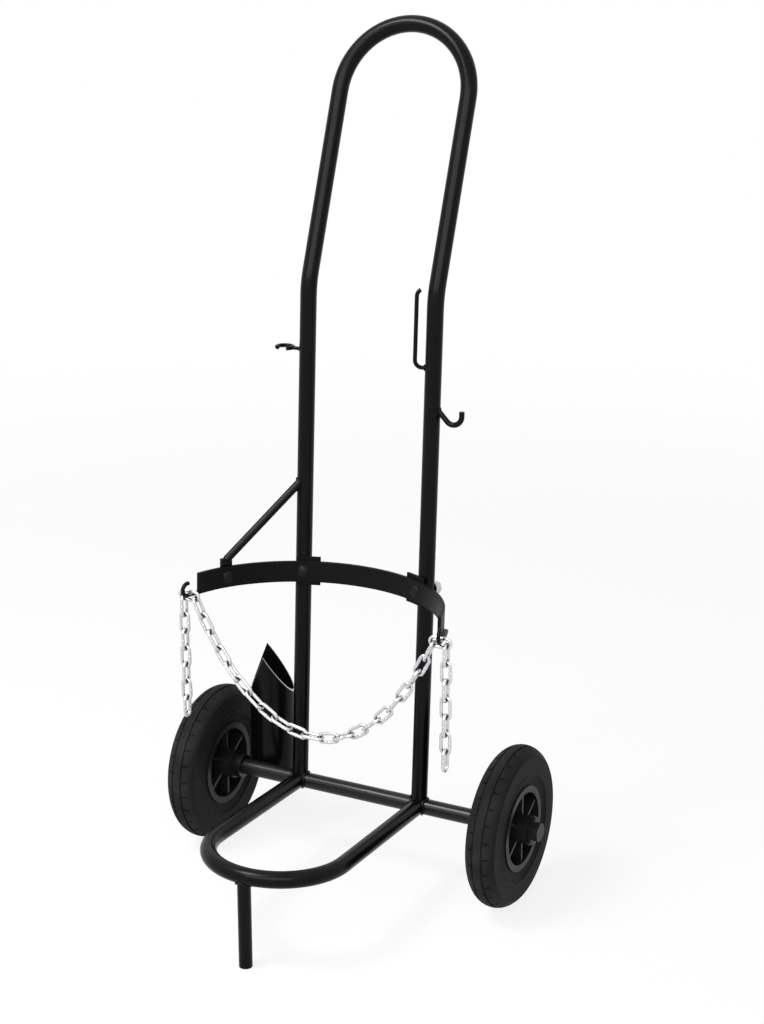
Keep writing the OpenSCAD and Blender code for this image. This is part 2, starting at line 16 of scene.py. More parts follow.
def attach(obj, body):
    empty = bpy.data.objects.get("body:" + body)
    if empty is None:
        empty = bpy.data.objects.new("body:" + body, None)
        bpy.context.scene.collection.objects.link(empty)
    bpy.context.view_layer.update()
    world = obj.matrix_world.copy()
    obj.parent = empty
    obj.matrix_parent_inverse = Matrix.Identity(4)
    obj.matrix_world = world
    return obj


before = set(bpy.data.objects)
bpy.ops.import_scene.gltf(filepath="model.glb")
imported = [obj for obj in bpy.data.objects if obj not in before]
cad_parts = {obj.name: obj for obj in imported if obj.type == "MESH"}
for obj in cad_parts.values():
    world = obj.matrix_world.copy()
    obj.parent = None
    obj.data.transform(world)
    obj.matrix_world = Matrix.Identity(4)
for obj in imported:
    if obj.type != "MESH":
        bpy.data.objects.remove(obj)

LOG = logging.getLogger("trolley")
MM = 0.001

Pair = tuple[float, float]
Triple = tuple[float, float, float]
Colour = tuple[float, float, float]
Settings = dict[str, Any]
Sockets = Union[dict[str, Any], dict[int, Any]]
Key = Union[str, int]


class Side(Enum):
    """The two sides of the trolley, as the sign of X."""

    LEFT = -1
    RIGHT = 1


class Body(Enum):
    """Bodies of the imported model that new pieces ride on."""

    FRAME = "frame"
    LEFT_WHEEL = "left_wheel"
    RIGHT_WHEEL = "right_wheel"
    CHAIN = "chain"
    LEFT_TAIL = "left_tail"
    RIGHT_TAIL = "right_tail"


class Field:
    """A shader socket that takes part in Python expressions."""

    def __init__(self, graph: "Graph", socket: bpy.types.NodeSocket) -> None:
        """Keeps the socket and the graph that it belongs to."""
        self.graph = graph
        self.socket = socket

    def _math(self, operation: str, *values: "Operand", clamp: bool = False) -> "Field":
        """Adds one Math node.

        Args:
            operation: Blender's name of the operation.
            values: The node's values in order.
            clamp: Whether the result is held between 0 and 1.

        Returns:
            The node's result.
        """
        settings = {"operation": operation, "use_clamp": clamp}
        return self.graph.node("ShaderNodeMath", settings, dict(enumerate(values)))

    def __add__(self, other: "Operand") -> "Field":
        """Sum."""
        return self._math("ADD", self, other)

    def __radd__(self, other: "Operand") -> "Field":
        """Sum with a number on the left."""
        return self._math("ADD", other, self)

    def __sub__(self, other: "Operand") -> "Field":
        """Difference."""
        return self._math("SUBTRACT", self, other)

    def __rsub__(self, other: "Operand") -> "Field":
        """Difference with a number on the left."""
        return self._math("SUBTRACT", other, self)

    def __mul__(self, other: "Operand") -> "Field":
        """Product."""
        return self._math("MULTIPLY", self, other)

    def __rmul__(self, other: "Operand") -> "Field":
        """Product with a number on the left."""
        return self._math("MULTIPLY", other, self)

    def __pow__(self, other: "Operand") -> "Field":
        """Power."""
        return self._math("POWER", self, other)

    def __rpow__(self, other: "Operand") -> "Field":
        """Power of a number on the left."""
        return self._math("POWER", other, self)

    def held(self) -> "Field":
        """The value held between 0 and 1."""
        return self._math("ADD", self, 0.0, clamp=True)

    def larger(self, other: "Operand") -> "Field":
        """The larger of two values."""
        return self._math("MAXIMUM", self, other)

    def step(self, low: float, high: float) -> "Field":
        """Soft step from 0 to 1.

        Args:
            low: Value at which the step starts.
            high: Value at which it ends; below low, the step falls.

        Returns:
            The step.
        """
        settings = {"interpolation_type": "SMOOTHSTEP"}
        sockets = {"Value": self, "From Min": low, "From Max": high}
        return self.graph.node("ShaderNodeMapRange", settings, sockets)


Operand = Union[Field, float]


@dataclass(frozen=True)
class Grain:
    """A pattern of soft noise.

    Attributes:
        per_metre: Cells per metre.
        detail: Finer layers.
        rough: Strength of the finer layers.
        stretch: How many times finer the pattern is along each axis.
    """

    per_metre: float
    detail: float = 2.0
    rough: float = 0.5
    stretch: Optional[Triple] = None


class Graph:
    """The node graph of one material or of the world."""

    EDGE_SAMPLES = 4

    def __init__(self, tree: bpy.types.NodeTree) -> None:
        """Empties the tree, so that every node in it comes from node()."""
        tree.nodes.clear()
        self.tree = tree

    def node(self, kind: str, settings: Settings, sockets: Sockets, out: Key = 0) -> Field:
        """Adds a node.

        Args:
            kind: Blender's type of the node.
            settings: The node's settings, which are set first.
            sockets: Values or links of its inputs, by name or number.
            out: Name or number of the output to return.

        Returns:
            The output, or the first input of a node without outputs.
        """
        made = self.tree.nodes.new(kind)
        for name, value in settings.items():
            setattr(made, name, value)
        for key, value in sockets.items():
            if isinstance(value, Field):
                self.tree.links.new(value.socket, made.inputs[key])
            else:
                made.inputs[key].default_value = value
        return Field(self, made.outputs[out] if made.outputs else made.inputs[0])

    def place(self) -> Field:
        """Place on the object, in the frame's metres."""
        return self.node("ShaderNodeTexCoord", {}, {}, "Object")

    def split(self, vector: Field) -> tuple[Field, Field, Field]:
        """The three parts of a vector."""
        x, y, z = (self.node("ShaderNodeSeparateXYZ", {}, {0: vector}, axis) for axis in "XYZ")
        return x, y, z

    def noise(self, at: Field, grain: Grain) -> Field:
        """Soft noise between 0 and 1.

        Args:
            at: Place to read.
            grain: The pattern.

        Returns:
            The noise.
        """
        if grain.stretch is not None:
            at = self.node("ShaderNodeMapping", {}, {"Vector": at, "Scale": grain.stretch})
        sockets = {"Vector": at, "Scale": grain.per_metre}
        layers = {"Detail": grain.detail, "Roughness": grain.rough}
        return self.node("ShaderNodeTexNoise", {}, sockets | layers)

    def flecks(self, at: Field, per_metre: float) -> Field:
        """Distance to the nearest of many scattered points, in cells."""
        sockets = {"Vector": at, "Scale": per_metre}
        return self.node("ShaderNodeTexVoronoi", {}, sockets, "Distance")

    def away(self, at: Field, point: Triple) -> Field:
        """Distance from a point in metres."""
        settings = {"operation": "DISTANCE"}
        return self.node("ShaderNodeVectorMath", settings, {0: at, 1: point}, "Value")

    def blend(
        self, mask: Operand, low: Union[Field, Colour], high: Union[Field, Colour],
    ) -> Field:
        """Colour between two colours.

        Args:
            mask: 0 for the first colour and 1 for the second.
            low: First colour.
            high: Second colour.

        Returns:
            The blended colour.
        """
        sockets = {0: mask, 6: self.colour(low), 7: self.colour(high)}
        return self.node("ShaderNodeMix", {"data_type": "RGBA"}, sockets, 2)

    @staticmethod
    def colour(value: Union[Field, Colour]) -> Union[Field, tuple[float, ...]]:
        """A colour as a socket takes it."""
        return value if isinstance(value, Field) else (*value, 1.0)

    def bump(self, height: Field, depth: float, edge: float = 0.0) -> Field:
        """Normal over a height.

        Args:
            height: Height between 0 and 1.
            depth: Full depth in metres.
            edge: Radius in metres to which sharp edges look rounded.

        Returns:
            The normal.
        """
        sockets = {"Height": height, "Distance": depth, "Strength": 1.0}
        if edge > 0.0:
            settings = {"samples": self.EDGE_SAMPLES}
            sockets["Normal"] = self.node("ShaderNodeBevel", settings, {"Radius": edge})
        return self.node("ShaderNodeBump", {}, sockets, "Normal")

    def surface(self, sockets: dict[str, Any]) -> None:
        """Ends the graph in a Principled surface with these sockets."""
        shader = self.node("ShaderNodeBsdfPrincipled", {}, sockets)
        self.node("ShaderNodeOutputMaterial", {}, {"Surface": shader})


@dataclass(frozen=True, kw_only=True)
class Finish:
    """Base of the finishes, whose lengths are in metres.

    Attributes:
        name: The record's material slot.
        part: What tells apart two materials of one slot.
        colour: Main colour.
        roughness: Middle roughness.
        sway: How far the roughness changes from cloud to cloud.
    """

    name: str
    part: str = ""
    colour: Colour
    roughness: float
    sway: float = 0.16

    def paint(self, graph: Graph) -> None:
        """Fills the graph of the finish's material."""
        raise NotImplementedError

    def clouded(self, cloud: Field) -> Field:
        """Roughness that follows a cloud."""
        return cloud * self.sway + (self.roughness - self.sway / 2.0)

    def material(self) -> bpy.types.Material:
        """Makes the material on first use.

        Returns:
            The material.
        """
        label = f"{self.name}{self.part}_finish"
        found = bpy.data.materials.get(label)
        if found is None:
            found = bpy.data.materials.new(label)
            found.use_nodes = True
            self.paint(Graph(found.node_tree))
        return found


@dataclass(frozen=True)
class Rub:
    """A place where paint is rubbed bright.

    Attributes:
        point: Its middle in metres.
        radius: Its radius in metres.
        core: Share of the radius that is rubbed all over.
    """

    point: Triple
    radius: float
    core: float = 0.2

    def mask(self, graph: Graph, at: Field) -> Field:
        """1 in the core, falling to 0 at the radius."""
        return graph.away(at, self.point).step(self.radius, self.core * self.radius)


@dataclass(frozen=True, kw_only=True)
class Paint(Finish):
    """Baked black paint with a fine orange peel, settled dust and rubbed spots.

    Attributes:
        shade: Darkest and lightest tone, as shares of the colour.
        edge: Radius to which sharp edges look rounded.
        dust: Share of dust where it lies thickest.
        dust_rise: Z of the normal at which dust starts to lie, and where it lies in full.
        speck_size: Radius of a speck of dust and of its core, in cells.
        speck_share: Strength of the specks against the dust.
        bare: Colour of the steel where the paint is rubbed off.
        worn_mouth: How far the paint is rubbed off a slanted mouth.
        mouth_rise: Z of the normal at which the mouth starts, and where it is in full.
        scratch_edge: Softness of the scratches' edges.
    """

    sway: float = 0.12
    specular: float = 0.11
    shade: Pair = (0.8, 1.2)
    cloud: Grain = Grain(14.0, 4.0, 0.6)
    peel: Grain = Grain(420.0)
    peel_depth: float = 0.00002
    edge: float = 0.0006
    dust: float = 0.12
    dust_colour: Colour = (0.040, 0.039, 0.037)
    dust_rough: float = 0.35
    dust_rise: Pair = (0.25, 0.95)
    dust_cloud: Pair = (0.4, 0.7)
    specks_per_metre: float = 420.0
    speck_size: Pair = (0.16, 0.05)
    speck_patch: Grain = Grain(60.0)
    speck_spread: Pair = (0.55, 0.7)
    speck_share: float = 0.6
    bare: Colour = (0.32, 0.32, 0.33)
    rubs: tuple[Rub, ...] = ()
    worn_mouth: float = 0.0
    mouth_rise: Pair = (0.25, 0.32)
    scratch: Grain = Grain(420.0, 4.0, 0.65, (1.0, 1.0, 6.0))
    scratch_edge: Pair = (0.0, 0.18)

    def paint(self, graph: Graph) -> None:
        """Fills the graph of the paint.

        Args:
            graph: The material's graph.
        """
        at = graph.place()
        cloud = graph.noise(at, self.cloud)
        rise = graph.split(graph.node("ShaderNodeNewGeometry", {}, {}, "True Normal"))[2]
        dusty = self._dusty(graph, at, cloud, rise)
        dark, light = (tuple(share * tone for tone in self.colour) for share in self.shade)
        colour = graph.blend(dusty, graph.blend(cloud, dark, light), self.dust_colour)
        metal: Operand = 0.0
        worn = [rub.mask(graph, at) for rub in self.rubs]
        if self.worn_mouth > 0.0:
            worn.append(rise.step(*self.mouth_rise) * self.worn_mouth)
        if worn:
            scratch = graph.noise(at, self.scratch)
            metal = (reduce(Field.larger, worn) + scratch - 1.0).step(*self.scratch_edge)
            colour = graph.blend(metal, colour, self.bare)
        graph.surface({
            "Base Color": colour,
            "Roughness": self.clouded(cloud) + dusty * self.dust_rough,
            "Metallic": metal,
            "Specular IOR Level": self.specular,
            "Normal": graph.bump(graph.noise(at, self.peel), self.peel_depth, self.edge),
        })

    def _dusty(self, graph: Graph, at: Field, cloud: Field, rise: Field) -> Field:
        """Dust that lies on faces that look up, and specks of it all over.

        Args:
            graph: The material's graph.
            at: Place on the object.
            cloud: Slow noise that the dust follows.
            rise: Z of the normal.

        Returns:
            Share of dust between 0 and 1.
        """
        lying = rise.step(*self.dust_rise) * cloud.step(*self.dust_cloud) * self.dust
        spread = graph.noise(at, self.speck_patch).step(*self.speck_spread)
        specks = graph.flecks(at, self.specks_per_metre).step(*self.speck_size) * spread
        return (lying + specks * (self.dust * self.speck_share)).held()


@dataclass(frozen=True, kw_only=True)
class Rubber(Finish):
    """Moulded tyre rubber with a fine grain, and paler on its tread.

    Attributes:
        axis: Y and Z of the axle.
        tread: Radii between which the flank turns into the tread.
        wall_foot: Radii between which the dusty part of the flank starts.
        wall_head: Radii between which it ends, the outer one first.
        wall_share: Strength of the flank's dust against the tread's.
    """

    colour: Colour = (0.0128, 0.0128, 0.0125)
    roughness: float = 0.57
    sway: float = 0.14
    specular: float = 0.05
    axis: Pair
    cloud: Grain = Grain(32.0, 4.0, 0.6)
    tread: Pair = (0.090, 0.096)
    tread_colour: Colour = (0.0245, 0.0240, 0.0230)
    tread_dust: Pair = (0.3, 0.75)
    tread_rough: float = 0.1
    wall_foot: Pair = (0.056, 0.060)
    wall_head: Pair = (0.086, 0.080)
    wall_dust: Pair = (0.5, 0.8)
    wall_share: float = 0.35
    grain: Grain = Grain(900.0, 3.0, 0.6)
    grain_depth: float = 0.00005

    def paint(self, graph: Graph) -> None:
        """Fills the graph of the rubber.

        Args:
            graph: The material's graph.
        """
        at = graph.place()
        _, y, z = graph.split(at)
        radius = ((y - self.axis[0]) ** 2.0 + (z - self.axis[1]) ** 2.0) ** 0.5
        tread = radius.step(*self.tread)
        wall = radius.step(*self.wall_foot) * radius.step(*self.wall_head)
        cloud = graph.noise(at, self.cloud)
        wall_dust = wall * cloud.step(*self.wall_dust) * self.wall_share
        dusty = (tread * cloud.step(*self.tread_dust) + wall_dust).held()
        graph.surface({
            "Base Color": graph.blend(dusty, self.colour, self.tread_colour),
            "Roughness": self.clouded(cloud) + tread * self.tread_rough,
            "Specular IOR Level": self.specular,
            "Normal": graph.bump(graph.noise(at, self.grain), self.grain_depth),
        })


@dataclass(frozen=True, kw_only=True)
class Plastic(Finish):
    """Injection-moulded plastic with a fine eroded texture.

    Attributes:
        pale: The palest tone, as a share of the colour and what is added to that.
        cloud_share: How pale the clouds are.
        scuff_share: How pale the scuffs are.
    """

    specular: float = 0.12
    pale: Pair = (1.5, 0.002)
    cloud: Grain = Grain(26.0, 3.0, 0.55)
    cloud_share: float = 0.5
    scuff: Grain = Grain(160.0, 4.0, 0.7, (5.0, 1.0, 1.0))
    scuff_edge: Pair = (0.62, 0.78)
    scuff_share: float = 0.4
    scuff_rough: float = 0.1
    grain: Grain = Grain(900.0, 3.0, 0.7)
    grain_depth: float = 0.000012

    def paint(self, graph: Graph) -> None:
        """Fills the graph of the plastic.

        Args:
            graph: The material's graph.
        """
        at = graph.place()
        cloud = graph.noise(at, self.cloud)
        scuffs = graph.noise(at, self.scuff).step(*self.scuff_edge)
        mask = cloud * self.cloud_share + scuffs * self.scuff_share
        share, extra = self.pale
        graph.surface({
            "Base Color": graph.blend(
                mask, self.colour, tuple(share * tone + extra for tone in self.colour)),
            "Roughness": self.clouded(cloud) + scuffs * self.scuff_rough,
            "Specular IOR Level": self.specular,
            "Normal": graph.bump(graph.noise(at, self.grain), self.grain_depth),
        })


@dataclass(frozen=True, kw_only=True)
class Zinc(Finish):
    """Bright zinc plating with a cloudy passivation, dull spots, and painted shade in its crevices
    and where links touch.

    Attributes:
        dull: Colour of the dull spots.
        painted_shade_colour: Colour of the painted shade in crevices and where links touch.
        painted_shade_reach: How near another surface lies where shade is painted.
        painted_shade_edge: Openness at which the painted shade starts, and where it is in full.
        painted_shade_share: Strength of the painted shade.
        draw: The fine lines that wire drawing leaves.
    """

    colour: Colour = (0.74, 0.75, 0.77)
    roughness: float = 0.26
    dull: Colour = (0.46, 0.47, 0.49)
    cloud: Grain = Grain(70.0, 4.0, 0.6)
    cloud_share: float = 0.5
    tarnish: Grain = Grain(260.0, 4.0, 0.7)
    tarnish_edge: Pair = (0.58, 0.74)
    tarnish_share: float = 0.5
    tarnish_rough: float = 0.2
    painted_shade_colour: Colour = (0.060, 0.058, 0.055)
    painted_shade_reach: float = 0.0045
    painted_shade_samples: int = 6
    painted_shade_edge: Pair = (0.92, 0.45)
    painted_shade_share: float = 0.9
    painted_shade_rough: float = 0.3
    draw: Grain = Grain(800.0, stretch=(3.0, 3.0, 1.0))
    draw_depth: float = 0.00002

    def paint(self, graph: Graph) -> None:
        """Fills the graph of the plating.

        Args:
            graph: The material's graph.
        """
        at = graph.place()
        cloud = graph.noise(at, self.cloud)
        tarnish = graph.noise(at, self.tarnish).step(*self.tarnish_edge)
        # Painted shade: an ambient occlusion mask darkens the plating in crevices and where links
        # touch, and makes it rougher there.
        open_sky = graph.node(
            "ShaderNodeAmbientOcclusion", {"samples": self.painted_shade_samples},
            {"Distance": self.painted_shade_reach}, "AO")
        painted_shade = open_sky.step(*self.painted_shade_edge) * self.painted_shade_share
        spots = (cloud * self.cloud_share + tarnish * self.tarnish_share).held()
        plating = graph.blend(spots, self.colour, self.dull)
        rough = self.clouded(cloud) + tarnish * self.tarnish_rough + painted_shade * self.painted_shade_rough
        graph.surface({
            # The painted shade darkens the base colour here.
            "Base Color": graph.blend(painted_shade, plating, self.painted_shade_colour),
            "Metallic": 1.0,
            "Roughness": rough,
            "Normal": graph.bump(graph.noise(at, self.draw), self.draw_depth),
        })


@dataclass(frozen=True)
class Stance:
    """How the welded frame stands: its two uprights lean back about the axle.

    Attributes:
        lean: Angle of the uprights in radians.
        axle_y: Y of the axle in millimetres.
        axle_z: Its height in millimetres.
        half: Half the distance between the uprights in millimetres.
        tube_r: Radius of their tube in millimetres.
    """

    lean: float = math.radians(3.3)
    axle_y: float = 66.963
    axle_z: float = 100.0
    half: float = 84.0
    tube_r: float = 10.0

    def at(self, x: float, y: float, z: float) -> Vector:
        """Place of a point of the leaning frame.

        Args:
            x: Millimetres to the right.
            y: Millimetres backwards from the axle, across the uprights.
            z: Millimetres up the uprights from the axle.

        Returns:
            The place in metres.
        """
        back = y * math.cos(self.lean) + z * math.sin(self.lean)
        up = z * math.cos(self.lean) - y * math.sin(self.lean)
        return Vector((x, self.axle_y + back, self.axle_z + up)) * MM

    def along(self, x: float, y: float, z: float) -> Vector:
        """Direction in the leaning frame as a unit vector."""
        return (self.at(x, y, z) - self.at(0.0, 0.0, 0.0)).normalized()


STANCE = Stance()


@dataclass(frozen=True)
class Joint:
    """A tube or rod, the branch, that ends on the side of another tube, the main one.

    Attributes:
        centre: Crossing of the two axes in metres.
        branch: Direction of the branch as it leaves the main tube.
        main: Direction of the main tube.
        branch_r: Radius of the branch in millimetres.
        main_r: Radius of the main tube in millimetres.
    """

    centre: Vector
    branch: Vector
    main: Vector
    branch_r: float
    main_r: float

    def reach(self, radial: Vector) -> float:
        """Distance along the branch at which its skin meets the main tube.

        Args:
            radial: From the branch's axis to its skin, in metres.

        Returns:
            The distance from the crossing of the two axes, in metres.
        """
        skin = radial - radial.project(self.main)
        run = self.branch - self.branch.project(self.main)
        square = run.dot(run)
        slope = skin.dot(run)
        gap = skin.dot(skin) - (self.main_r * MM) ** 2
        return (math.sqrt(max(slope * slope - square * gap, 0.0)) - slope) / square


def deselect() -> None:
    """Leaves edit mode with nothing selected."""
    if bpy.context.mode != "OBJECT":
        bpy.ops.object.mode_set(mode="OBJECT")
    bpy.ops.object.select_all(action="DESELECT")


def named(name: str) -> bpy.types.Object:
    """Names the new active object, and moves its place into its mesh.

    Args:
        name: Name of the piece.

    Returns:
        The object.
    """
    bpy.ops.object.transform_apply(location=True, rotation=True, scale=True)
    made = bpy.context.active_object
    made.name = name
    made.data.name = name
    return made


def select_points(piece: bpy.types.Object, chosen: Sequence[bool]) -> None:
    """Selects points of a piece in edit mode.

    Args:
        piece: The piece.
        chosen: Whether each point is selected, in the mesh's order.
    """
    mesh = bmesh.from_edit_mesh(piece.data)
    for vertex in mesh.verts:
        vertex.select_set(chosen[vertex.index])
    mesh.select_flush_mode()
    bmesh.update_edit_mesh(piece.data, loop_triangles=False, destructive=False)


def joined(name: str, objects: Sequence[bpy.types.Object]) -> bpy.types.Object:
    """One smooth object made of several.

    Args:
        name: Name of the piece.
        objects: Its parts, which are used up.

    Returns:
        The piece.
    """
    deselect()
    for part in objects:
        part.select_set(True)
    bpy.context.view_layer.objects.active = objects[0]
    bpy.ops.object.transform_apply(location=True, rotation=True, scale=True)
    bpy.ops.object.join()
    bpy.ops.object.shade_smooth()
    return named(name)


@dataclass
class Welder:
    """Lays weld beads with their ripples.

    Attributes:
        steps: Sections of a bead round a joint.
        sides: Points of a section.
        ripple: Height of a ripple, as a share of the bead's radius.
        beat: Sections from ripple to ripple.
        wander: How unevenly the ripples follow each other.
        seat: How far the bead's middle lies outside the branch, in radii of the bead.
        lift: How far it lies off the main tube, in radii of the bead.
        tip: Size of an open bead's first and last section against its plain size.
        taper: How much a section is larger than the one before it, towards the plain size.
        merge: Distance in metres at which points are merged.
    """

    steps: int = 60
    sides: int = 10
    ripple: float = 0.16
    beat: int = 3
    wander: float = 0.6
    seat: float = 0.35
    lift: float = 0.2
    tip: float = 0.3
    taper: float = 0.35
    merge: float = 0.00001

    def swell(self, step: int) -> float:
        """Size of the bead at a step of its run, against its plain size."""
        turn = math.tau * step / self.beat + self.wander * math.sin(step)
        return 1.0 + self.ripple * math.sin(turn)

    def round(self, name: str, joint: Joint, size: float) -> bpy.types.Object:
        """Bead round a joint, from a ring whose sections are moved onto the seam one by one.

        Args:
            name: Name of the piece.
            joint: The two tubes.
            size: Radius of the bead in millimetres.

        Returns:
            The bead.
        """
        turn = joint.branch.to_track_quat("Z", "Y")
        ring = joint.branch_r * MM + self.seat * size * MM
        deselect()
        bpy.ops.mesh.primitive_torus_add(
            location=joint.centre, rotation=turn.to_euler(), major_segments=self.steps,
            minor_segments=self.sides, major_radius=ring, minor_radius=size * MM)
        bead = named(name)
        across, over = turn @ Vector((1, 0, 0)), turn @ Vector((0, 1, 0))
        spokes = [point.co - joint.centre for point in bead.data.vertices]
        section = [self._section(spoke.dot(across), spoke.dot(over)) for spoke in spokes]
        bpy.ops.object.mode_set(mode="EDIT")
        for step in range(self.steps):
            angle = math.tau * step / self.steps
            radial = ring * (math.cos(angle) * across + math.sin(angle) * over)
            move = joint.branch * (joint.reach(radial) + self.lift * size * MM)
            select_points(bead, [place == step for place in section])
            bpy.ops.transform.translate(value=move)
            self._resize(self.swell(step), joint.centre + radial + move)
        return self._closed(bead)

    def _section(self, across: float, over: float) -> int:
        """Number of the ring's section that a point belongs to."""
        return round(math.atan2(over, across) / math.tau * self.steps) % self.steps

    def along(self, name: str, path: Sequence[Vector], size: float) -> bpy.types.Object:
        """Bead along an open seam, extruded step by step from a small end.

        Args:
            name: Name of the piece.
            path: Points of the seam in metres.
            size: Radius of the bead in millimetres.

        Returns:
            The bead.
        """
        run = path[-1] - path[0]
        deselect()
        bpy.ops.mesh.primitive_circle_add(
            vertices=self.sides, radius=self.tip * size * MM, fill_type="NGON", location=path[0],
            rotation=run.to_track_quat("Z", "Y").to_euler())
        bead = named(name)
        bpy.ops.object.mode_set(mode="EDIT")
        bpy.ops.mesh.select_all(action="SELECT")
        last = len(path) - 1
        width = self.tip
        for step in range(1, last + 1):
            move = path[step] - path[step - 1]
            bpy.ops.mesh.extrude_region_move(TRANSFORM_OT_translate={"value": move})
            wanted = self.swell(step) * min(1.0, self.tip + self.taper * min(step, last - step))
            self._resize(wanted / width, path[step])
            width = wanted
        return self._closed(bead)

    @staticmethod
    def _resize(factor: float, centre: Vector) -> None:
        """Scales what is selected about a point."""
        bpy.ops.transform.resize(value=(factor, factor, factor), center_override=centre)

    def _closed(self, bead: bpy.types.Object) -> bpy.types.Object:
        """Merges doubles, turns the faces outwards and shades the bead smooth.

        Args:
            bead: The bead, in edit mode.

        Returns:
            The bead, in object mode.
        """
        bpy.ops.mesh.select_all(action="SELECT")
        bpy.ops.mesh.remove_doubles(threshold=self.merge)
        bpy.ops.mesh.normals_make_consistent(inside=False)
        bpy.ops.object.mode_set(mode="OBJECT")
        bpy.ops.object.shade_smooth()
        return bead


@dataclass
class SubAssembly:
    """A group of the trolley's nodes, and the new pieces that go with them.

    Sizes are in millimetres.

    Attributes:
        finishes: Finish of each node.
        finish: Finish of the new pieces.
        body: Body that they ride on.
        welder: What lays the group's weld beads.
    """

    finishes: dict[str, Finish] = field(default_factory=dict)
    finish: Optional[Finish] = None
    body: Body = Body.FRAME
    welder: Welder = field(default_factory=Welder)

    def pieces(self) -> list[bpy.types.Object]:
        """Models the new pieces of the group; none by default."""
        return []

    def build(self) -> None:
        """Builds the group's new pieces, sets them on their body and reports them."""
        for piece in self.pieces():
            piece.data.materials.append(self.finish.material())
            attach(piece, self.body.value)
            LOG.info("%s rides on %s", piece.name, self.body.value)

    def dress(self) -> None:
        """Gives each CAD node of the group its finish."""
        for node, finish in self.finishes.items():
            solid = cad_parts[node]
            if not solid.material_slots:
                solid.data.materials.append(finish.material())
            for slot in solid.material_slots:
                slot.material = finish.material()
            LOG.info("%s wears %s", node, finish.name)


@dataclass
class WeldedFrame(SubAssembly):
    """Handle tube, toe loop, prop leg and axle bar, welded together."""

    axle_r: float = 10.0
    toe_reach: float = 283.0
    leg_r: float = 8.0
    bead: float = 1.9

    def pieces(self) -> list[bpy.types.Object]:
        """Builds the seams of the frame.

        Returns:
            The beads of both uprights, of the toe loop's ends and of the leg.
        """
        across = Vector((1, 0, 0))
        made = []
        for side in Side:
            label = side.name.lower()
            foot = STANCE.at(side.value * STANCE.half, 0.0, 0.0)
            for tube, away in (("upright", STANCE.along(0, 0, 1)), ("toe", STANCE.along(0, -1, 0))):
                joint = Joint(foot, away, across, STANCE.tube_r, self.axle_r)
                made.append(self.welder.round(f"{label}_{tube}_seam", joint, self.bead))
        front = STANCE.at(0.0, -self.toe_reach, 0.0)
        leg = Joint(front, Vector((0, 0, -1)), across, self.leg_r, STANCE.tube_r)
        made.append(self.welder.round("leg_seam", leg, self.bead))
        return made


@dataclass
class CylinderRest(SubAssembly):
    """Curved rest bar with its lugs, bolts, side brace and chain hooks.

    Attributes:
        centre_y: Y of the bar's own axis.
        height: Height of its middle.
        outer_r: Radius of its outer face.
        half_bar: Half its height.
        half_angle: Angle of its end in degrees.
        weld_angle: Angle over which a hook is welded to it, in degrees.
        weld_margin: Share of that angle left free at each end.
        weld_steps: Points of a hook's seam.
        hook_r: Radius of the hook's rod.
        upper_seam: How far the upper seam lies off the bar's face, and above the rod.
        lower_seam: How far the lower seam lies off the bar's face, and above its lower edge.
        brace_r: Radius of the brace.
        brace_z: Height of its head on the left upright.
        brace_foot: Its foot on the bar.
        bead: Radius of the hooks' beads.
        brace_bead: Radius of the brace's bead.
    """

    centre_y: float = -158.18
    height: float = 280.0
    outer_r: float = 166.0
    half_bar: float = 13.0
    half_angle: float = 78.0
    weld_angle: float = 10.0
    weld_margin: float = 0.06
    weld_steps: int = 24
    hook_r: float = 2.5
    upper_seam: Pair = (0.6, 0.5)
    lower_seam: Pair = (-0.2, -0.5)
    brace_r: float = 5.0
    brace_z: float = 397.0
    brace_foot: Triple = (-148.379, -79.285, 300.0)
    bead: float = 1.1
    brace_bead: float = 1.5

    def pieces(self) -> list[bpy.types.Object]:
        """Builds the seams of the chain hooks and of the brace's head.

        Returns:
            The beads, two for each hook and one for the brace.
        """
        seams = {
            "upper": (self.upper_seam[0], self.upper_seam[1] + self.hook_r - self.half_bar),
            "lower": (self.lower_seam[0], self.lower_seam[1] - self.half_bar),
        }
        made = []
        for side in Side:
            for place, (off, rise) in seams.items():
                name = f"{side.name.lower()}_hook_seam_{place}"
                made.append(self.welder.along(name, self._seam(side, off, rise), self.bead))
        x, y, z = self.brace_foot
        away = STANCE.along(x + STANCE.half, y, z - self.brace_z)
        head = STANCE.at(-STANCE.half, 0.0, self.brace_z)
        joint = Joint(head, away, STANCE.along(0, 0, 1), self.brace_r, STANCE.tube_r)
        made.append(self.welder.round("brace_seam", joint, self.brace_bead))
        return made

    def _seam(self, side: Side, off: float, rise: float) -> list[Vector]:
        """Points of a seam along the rest bar's end.

        Args:
            side: Side of the trolley.
            off: Distance from the bar's outer face in millimetres.
            rise: Height over the bar's middle in millimetres.

        Returns:
            The points in metres.
        """
        radius = self.outer_r + off
        points = []
        for step in range(self.weld_steps):
            share = self.weld_margin + (1 - 2 * self.weld_margin) * step / (self.weld_steps - 1)
            angle = math.radians(self.half_angle - self.weld_angle * share)
            x = side.value * radius * math.sin(angle)
            y = self.centre_y + radius * math.cos(angle)
            points.append(STANCE.at(x, y, self.height + rise))
        return points


